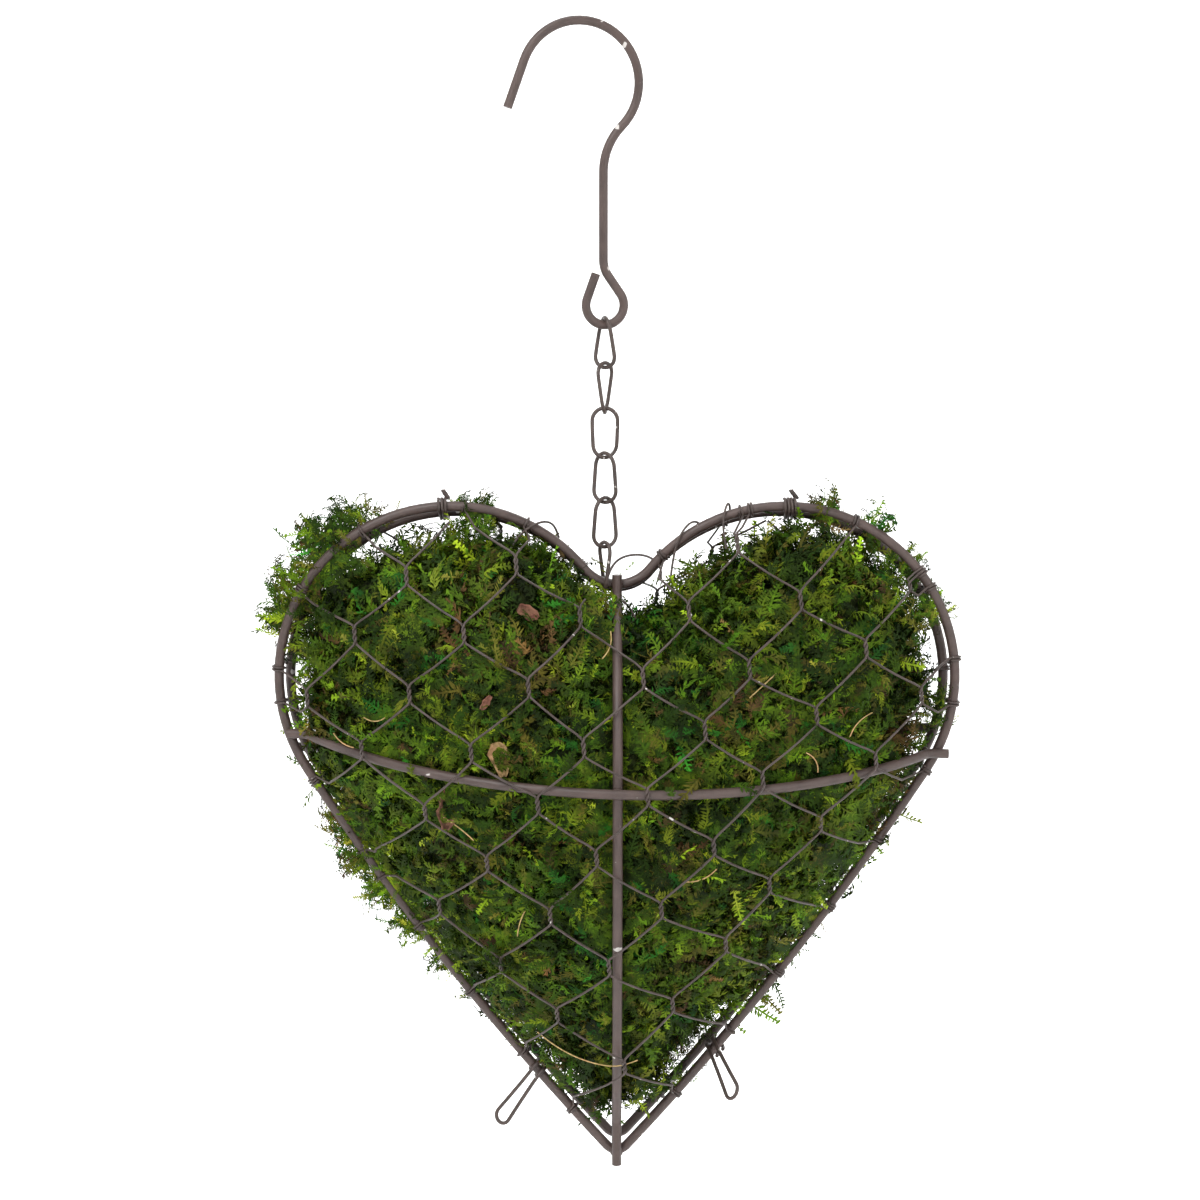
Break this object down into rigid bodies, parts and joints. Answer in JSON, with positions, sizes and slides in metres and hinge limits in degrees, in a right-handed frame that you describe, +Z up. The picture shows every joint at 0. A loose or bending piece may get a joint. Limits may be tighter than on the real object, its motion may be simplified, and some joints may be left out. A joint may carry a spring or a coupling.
{
  "type": "hanging basket",
  "caption": "Heart-shaped hanging basket: two bowed wire halves lined with moss, closed like a shell on wire ties and hairpin clips, hung from a hook by a chain.",
  "frame": {"origin": "seat of the hook: the inside of the top of its bend, where it rests on a bracket", "axes": "+Z up, +X across the heart to the right as seen from the front, -Y out of the front half towards the viewer"},
  "size_m": [0.2542, 0.1162, 0.4278],
  "materials": {
    "hook_wire": "satin, weathered brown-grey",
    "chain_wire": "satin, weathered brown-grey",
    "frame_wire": "satin, weathered brown-grey",
    "netting_wire": "satin, weathered brown-grey",
    "tie_wire": "satin, weathered brown-grey",
    "moss": "dried sphagnum and sheet moss, matt"
  },
  "bodies": {
    "hook": {"hook": "hook_wire"},
    "link_1": {"chain_link_1": "chain_wire"},
    "link_2": {"chain_link_2": "chain_wire"},
    "link_3": {"chain_link_3": "chain_wire"},
    "link_4": {"chain_link_4": "chain_wire"},
    "link_5": {"chain_link_5": "chain_wire"},
    "link_6": {"chain_link_6": "chain_wire"},
    "front_half": {"front_rim": "frame_wire", "front_vertical_rib": "frame_wire", "front_horizontal_rib": "frame_wire", "front_netting": "netting_wire", "front_moss": "moss", "left_hinge_tie": "tie_wire", "right_hinge_tie": "tie_wire"},
    "back_half": {"back_rim": "frame_wire", "back_vertical_rib": "frame_wire", "back_horizontal_rib": "frame_wire", "back_netting": "netting_wire", "back_moss": "moss"},
    "left_clip": {"left_clip": "tie_wire"},
    "right_clip": {"right_clip": "tie_wire"}
  },
  "joints": [
    {"name": "hook_swing", "type": "hinge", "parent": "hook", "child": "link_1", "pos_m": [0.00901, 0.00225, -0.10713], "axis": [0.9703, 0.2419, 0], "range_deg": [-35, 35]},
    {"name": "link_2_swing", "type": "hinge", "parent": "link_1", "child": "link_2", "pos_m": [0.00901, 0.00225, -0.12268], "axis": [-0.848, 0.5299, 0], "range_deg": [-35, 35]},
    {"name": "link_3_swing", "type": "hinge", "parent": "link_2", "child": "link_3", "pos_m": [0.00901, 0.00225, -0.13918], "axis": [0.1045, 0.9945, 0], "range_deg": [-35, 35]},
    {"name": "link_4_swing", "type": "hinge", "parent": "link_3", "child": "link_4", "pos_m": [0.00901, 0.00225, -0.15568], "axis": [-0.866, -0.5, 0], "range_deg": [-35, 35]},
    {"name": "link_5_swing", "type": "hinge", "parent": "link_4", "child": "link_5", "pos_m": [0.00901, 0.00225, -0.17218], "axis": [-0.9135, 0.4067, 0], "range_deg": [-35, 35]},
    {"name": "link_6_swing", "type": "hinge", "parent": "link_5", "child": "link_6", "pos_m": [0.00901, 0.00225, -0.18868], "axis": [0.9397, 0.342, 0], "range_deg": [-35, 35]},
    {"name": "basket_swing", "type": "hinge", "parent": "link_6", "child": "front_half", "pos_m": [0.00901, 0.00225, -0.20518], "axis": [0, -1, 0], "range_deg": [-20, 11]},
    {"name": "back_half_hinge", "type": "hinge", "parent": "front_half", "child": "back_half", "pos_m": [0.01351, 0.00905, -0.17629], "axis": [1, 0, 0], "range_deg": [0, 105]},
    {"name": "left_clip_swing", "type": "hinge", "parent": "front_half", "child": "left_clip", "pos_m": [-0.01675, 0.00225, -0.38754], "axis": [-0.6446, 0, 0.7645], "range_deg": [-60, 60]},
    {"name": "right_clip_swing", "type": "hinge", "parent": "front_half", "child": "right_clip", "pos_m": [0.05087, 0.00225, -0.37904], "axis": [0.6369, 0, 0.771], "range_deg": [-60, 60]}
  ]
}
